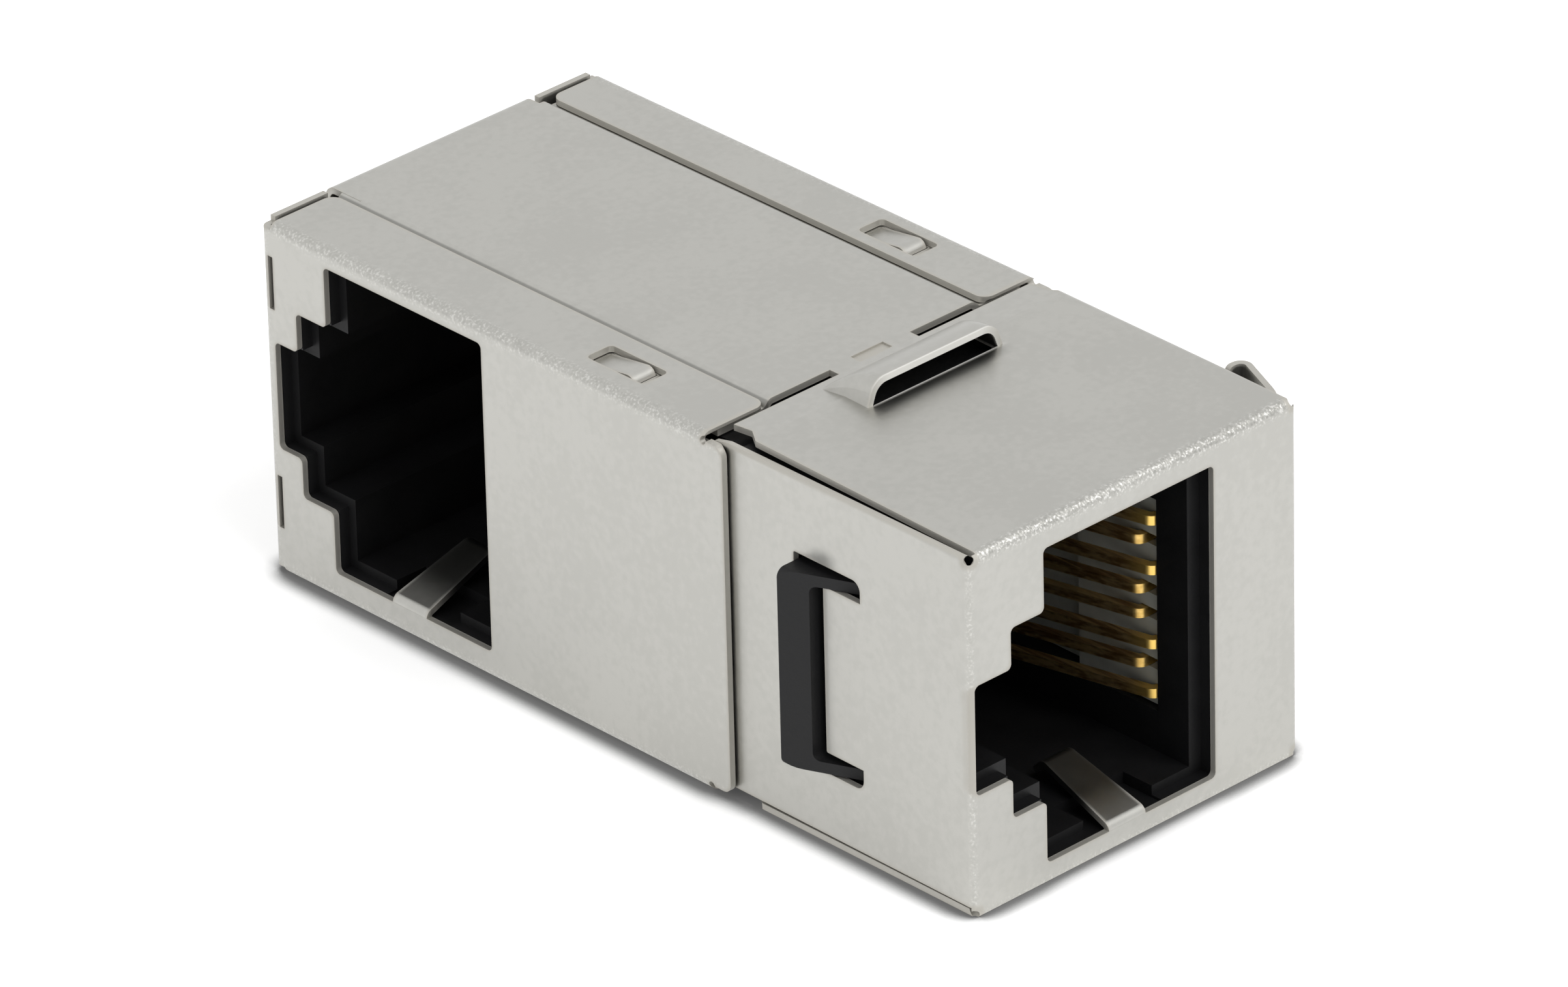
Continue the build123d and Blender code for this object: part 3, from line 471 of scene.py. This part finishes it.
# %% Gold
GOLD = "#f6cf73"
GOLD_THIN = "#9a7342"
GOLD_PATCH = "#e0c084"
LINE_SPACING = 0.1
LINE_DEPTH = 0.01
LINE_SCALES = (0.6, 1 / LINE_SPACING)
STREAK_SCALES = (0.12, 5.0)
STREAK_SPAN = (0.35, 0.65)
THINNING = (0.3, 1.5)
FOLD_DEPTH = 2.3


def gold_plate(name, axis, folds_at):
    """Gold plate over bronze wire, thinner and browner inwards from the folds."""
    material, tree, millimetres = new_material(name)
    place = add(tree, "SeparateXYZ", {0: millimetres}, output=None)
    noises = []
    for (along, across), detail in ((LINE_SCALES, 2.0), (STREAK_SCALES, 3.0)):
        scale = [along if letter == axis else across for letter in "XYZ"]
        stretched = add(tree, "Mapping", {"Vector": millimetres, "Scale": scale})
        noises.append(add(tree, "TexNoise", {"Vector": stretched, "Scale": 1.0, "Detail": detail}))
    lines, streaks = noises
    thin = within(tree, (place[axis], *[folds_at + inwards for inwards in THINNING]))
    bronze = layered(tree, GOLD_THIN, (within(tree, (streaks, *STREAK_SPAN)), GOLD_PATCH))
    sockets = {
        "Base Color": layered(tree, GOLD, (thin, bronze)),
        "Metallic": 1.0,
        "Roughness": 0.36,
        "Normal": add(tree, "Bump", {"Height": lines, "Strength": 0.3, "Distance": LINE_DEPTH * MM}),
    }
    show(tree, add(tree, "BsdfPrincipled", sockets))
    return material


front_gold = gold_plate("gold_on_bronze_front", "Y", FACE_Y + FOLD_DEPTH)
side_gold = gold_plate("gold_on_bronze_side", "X", REAR_LEFT + FOLD_DEPTH)
print("gold", GOLD, "thinning to", GOLD_THIN)

# %% [markdown]
# ## The circuit board
#
# The board between the housings is glass-fibre laminate under a green lacquer. It is closed in, but it
# can be seen if the part is taken apart, so it gets its weave: threads half a millimetre apart that
# show faintly through the lacquer.

# %% Green laminate
LACQUER = "#1d5a36"
LACQUER_THREAD = "#2c7048"
THREAD_PITCH = 0.5


def green_laminate(name):
    """Glass-fibre board under green lacquer."""
    material, tree, millimetres = new_material(name)
    threads = {"Vector": millimetres, "Scale": 1 / THREAD_PITCH}
    across = add(tree, "TexWave", threads, output="Fac", bands_direction="X")
    up = add(tree, "TexWave", threads, output="Fac", bands_direction="Z")
    colour = layered(tree, LACQUER, (within(tree, across, up), LACQUER_THREAD))
    show(tree, add(tree, "BsdfPrincipled", {"Base Color": colour, "Roughness": 0.3, "IOR": 1.52}))
    return material


board_laminate = green_laminate("green_lacquered_laminate")
print("threads", THREAD_PITCH, "mm apart")

# %% [markdown]
# ## Dressing the solids
#
# Each solid keeps its shape and place and only changes its finish, so a list of pairs is enough.

# %% Finishes on the solids
CONTACTS = 8

finishes = {
    "front_shield": front_nickel,
    "rear_shield": rear_nickel,
    "front_housing": housing_plastic,
    "side_housing": housing_plastic,
    "front_contact_block": plate_plastic,
    "side_contact_block": plate_plastic,
    "circuit_board": board_laminate,
}
for number in range(1, CONTACTS + 1):
    finishes[f"front_contact_{number}"] = front_gold
    finishes[f"side_contact_{number}"] = side_gold
for name, solid in parts.items():
    solid.data.materials.clear()
    solid.data.materials.append(finishes[name])
print("dressed", len(parts), "solids")

# %% [markdown]
# ## The light tent
#
# The object was photographed on white, in soft light from all round. A metal shows what it reflects, so
# the tent matters as much as the metal. The walls of the box reflect the white floor. Its top reflects
# the tent behind it, which is a little darker, and the folds catch the lamp above the front.
#
# The floor and the tent are white to the camera by their own colour and not by more light. The floor
# gets a little of its own light in the camera's eyes only, so that it reaches white. The photograph was
# taken on a lit table, so what is left of the shadow is a dark seam, little more than a millimetre wide,
# where the box stands. Ambient occlusion with that reach darkens the card there, to the camera only,
# because the metal's lower edges reflect the lit card without it.

# %% Floor
FLOOR_SIZE = 3.0
FLOOR_WHITE = "#f4f4f4"
FLOOR_LIFT = 0.36
SEAM_REACH = 1.4
SEAM_SPAN = (0.93, 0.54)
SEAM_STRENGTH = 0.84
SEAM_COLOUR = "#000000"


def background_rays(tree):
    """One for the rays that show the background: seen directly, off metal or through glass."""
    path = add(tree, "LightPath", output=None)
    seen = path["Is Camera Ray"]
    for kind in ("Is Glossy Ray", "Is Transmission Ray"):
        seen = add(tree, "Math", {0: seen, 1: path[kind]}, operation="MAXIMUM")
    return seen


def white_card():
    """White card that darkens where something stands on it, and reaches white to the camera."""
    material = bpy.data.materials.new("white_card")
    tree = empty_tree(material)
    open_above = add(tree, "AmbientOcclusion", {"Distance": SEAM_REACH * MM}, output="AO", samples=16)
    to_camera = add(tree, "LightPath", output="Is Camera Ray")
    seam = within(tree, (open_above, *SEAM_SPAN), to_camera, strength=SEAM_STRENGTH)
    open_floor = add(tree, "Math", {0: 1.0, 1: seam}, operation="SUBTRACT")
    lift = within(tree, background_rays(tree), open_floor, strength=FLOOR_LIFT)
    card = add(tree, "BsdfDiffuse", {"Color": layered(tree, FLOOR_WHITE, (seam, SEAM_COLOUR))})
    glow = add(tree, "Emission", {"Color": WHITE, "Strength": lift})
    show(tree, add(tree, "AddShader", {0: card, 1: glow}))
    return material


def make_floor():
    """A white floor that keeps the object's shadow."""
    half = FLOOR_SIZE / 2
    mesh = bpy.data.meshes.new("floor")
    corners = [(-half, -half, 0), (half, -half, 0), (half, half, 0), (-half, half, 0)]
    mesh.from_pydata(corners, [], [(0, 1, 2, 3)])
    mesh.materials.append(white_card())
    floor = bpy.data.objects.new("floor", mesh)
    bpy.context.scene.collection.objects.link(floor)


make_floor()
print("floor", FLOOR_SIZE, "m wide")

# %% [markdown]
# The tent is the world's own light: grey to everything that it lights, and white to the camera and to
# what the metal mirrors.

# %% Tent
TENT_GREY = 0.66


def make_tent():
    """Soft grey light from all round, seen by the camera as white."""
    world = bpy.data.worlds.new("tent")
    bpy.context.scene.world = world
    tree = empty_tree(world)
    levels = {"Value": background_rays(tree), "To Min": TENT_GREY, "To Max": 1.0}
    strength = add(tree, "MapRange", levels, interpolation_type="SMOOTHSTEP")
    light = add(tree, "Background", {"Color": WHITE, "Strength": strength})
    add(tree, "OutputWorld", {0: light}, output=None)


make_tent()
print("tent at", TENT_GREY)

# %% [markdown]
# Two lamps are enough: a wide softbox above and in front, and a weaker one on the left. A softbox's
# brightness is watts over its area, so a larger one at the same distance gives the same light with
# softer shadows. Their places and sizes are in metres.

# %% Lamps
BOX_MIDDLE = Vector((0, 0, 0.007))
softboxes = {
    "softbox_front": {"place": (0.10, -0.55, 0.75), "size": 0.6, "watts": 4.0},
    "softbox_left": {"place": (-0.75, 0.05, 0.55), "size": 0.5, "watts": 1.3},
}


def softbox(name, place, size, watts):
    """A square area lamp that looks at the middle of the box."""
    lamp = bpy.data.lights.new(name, "AREA")
    lamp.shape = "SQUARE"
    lamp.size = size
    lamp.energy = watts
    holder = bpy.data.objects.new(name, lamp)
    holder.location = place
    holder.rotation_mode = "QUATERNION"
    holder.rotation_quaternion = (BOX_MIDDLE - Vector(place)).to_track_quat("-Z", "Y")
    bpy.context.scene.collection.objects.link(holder)


for name, lamp in softboxes.items():
    softbox(name, **lamp)
print(len(softboxes), "lamps")

# %% [markdown]
# ## The camera
#
# A long lens from almost half a metre away: the box's edges are close to parallel in the photograph.
# The camera looks at the object from its front left corner, 29 degrees above the floor, with its head
# tipped by a degree and a half. Its place was solved from the edges of the ports and of the box.

# %% Camera
CAMERA_PLACE = Vector((-290.88, -312.17, 242.88)) * MM
CAMERA_AHEAD = Vector((0.5968, 0.6395, -0.4846)).normalized()
CAMERA_ROLL = math.radians(-1.43)
SENSOR_WIDTH = 36.0
LENS = 307.09
SHIFT_X = -0.00045
SHIFT_Y = 0.00565
NEAREST, FARTHEST = 0.01, 20.0

camera = bpy.data.objects.new("camera", bpy.data.cameras.new("camera"))
bpy.context.scene.collection.objects.link(camera)
side = CAMERA_AHEAD.cross(Vector((0, 0, 1))).normalized()
head = side.cross(CAMERA_AHEAD)
level = Matrix((side, head, -CAMERA_AHEAD)).transposed()
tipped = level @ Matrix.Rotation(CAMERA_ROLL, 3, "Z")
camera.matrix_world = Matrix.Translation(CAMERA_PLACE) @ tipped.to_4x4()
camera.data.sensor_width = SENSOR_WIDTH
camera.data.lens = LENS
camera.data.shift_x = SHIFT_X
camera.data.shift_y = SHIFT_Y
camera.data.clip_start = NEAREST
camera.data.clip_end = FARTHEST
bpy.context.scene.camera = camera
bpy.context.scene.view_settings.view_transform = "Standard"
print("camera", round(camera.location.length / MM), "mm from the origin")

# %% [markdown]
# The last cell only prints that the notebook has run to its end.

# %% The end
print("notebook run to its end")
